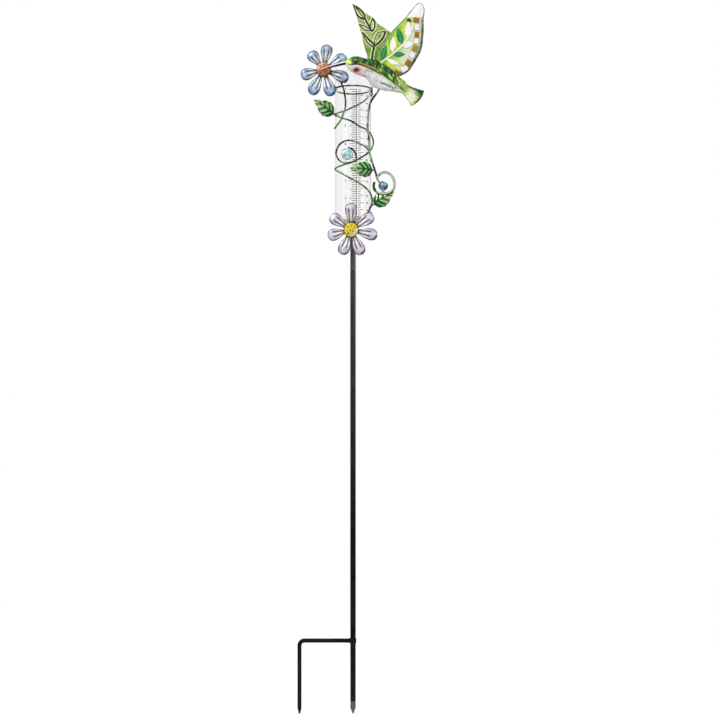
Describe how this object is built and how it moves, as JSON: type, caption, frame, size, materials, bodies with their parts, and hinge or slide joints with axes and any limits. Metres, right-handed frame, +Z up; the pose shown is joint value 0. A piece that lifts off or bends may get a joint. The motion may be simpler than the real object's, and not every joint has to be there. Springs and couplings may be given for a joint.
{
  "type": "manual rain gauge",
  "caption": "Decorative garden rain gauge: a graduated glass tube lifts out of a wire-vine cage with flowers, leaves and a hummingbird, on a two-piece ground stake with a side prong.",
  "frame": {"origin": "on the stake's axis at the ground line, which is the underside of the side prong's crossbar", "axes": "+Z up along the stake, front with flowers and bird faces -Y, side prong towards -X"},
  "size_m": [0.1781, 0.0847, 0.9973],
  "materials": {
    "stake_black": "satin powder coat",
    "tip_bare": "thin worn coat",
    "pin_steel": "plain",
    "cup_grey": "satin",
    "wire_green": "satin, dark wash",
    "wire_dark": "satin",
    "clear_glass": "polished",
    "scale_ink": "matt print",
    "turquoise_glass": "polished",
    "blue_glass": "polished",
    "leaf_green": "gloss over dark grooves",
    "petal_purple": "gloss over dark grooves",
    "petal_blue": "gloss over dark grooves",
    "disc_yellow": "gloss, dimpled",
    "disc_orange": "gloss, dimpled",
    "rivet_brass": "plain",
    "bird_green": "gloss over dark grooves",
    "bird_white": "gloss with grey strokes",
    "tail_green": "gloss",
    "beak_grey": "satin",
    "eye_black": "gloss",
    "wing_painted": "gloss enamel",
    "rim_grey": "satin",
    "wing_olive": "gloss over dark grooves"
  },
  "bodies": {
    "stake": {"stake_tube": "stake_black", "spike_tip": "tip_bare", "side_prong": "stake_black"},
    "coupler": {"coupling_pin": "pin_steel"},
    "upper": {"socket_tube": "stake_black", "tube_cup": "cup_grey", "top_ring": "wire_green", "ring_clasp": "wire_dark", "stem": "wire_green", "vine": "wire_green", "flower_stem": "wire_green", "flower_tie": "wire_dark", "stone_loop": "wire_green", "side_curl": "wire_green", "turquoise_stone": "turquoise_glass", "blue_stone": "blue_glass", "leaf_left": "leaf_green", "leaf_middle": "leaf_green", "leaf_right": "leaf_green", "flower_bracket": "stake_black", "purple_petals": "petal_purple", "purple_disc": "disc_yellow", "purple_rivet": "rivet_brass", "blue_petals": "petal_blue", "blue_disc": "disc_orange", "blue_rivet": "rivet_brass", "bird_back": "bird_green", "bird_breast": "bird_white", "bird_tail": "tail_green", "bird_beak": "beak_grey", "bird_eyes": "eye_black", "wing_near": "wing_painted", "wing_near_rim": "rim_grey", "wing_far": "wing_olive"},
    "tube": {"rain_tube": "clear_glass", "scale_print": "scale_ink"}
  },
  "joints": [
    {"name": "swivel", "type": "hinge", "parent": "stake", "child": "coupler", "pos_m": [0, 0, 0.527], "axis": [0, 0, 1], "continuous": true},
    {"name": "stake_lift", "type": "slide", "parent": "coupler", "child": "upper", "axis": [0, 0, 1], "range_m": [0, 0.03]},
    {"name": "tube_lift", "type": "slide", "parent": "upper", "child": "tube", "axis": [0, 0, 1], "range_m": [0, 0.225]}
  ]
}
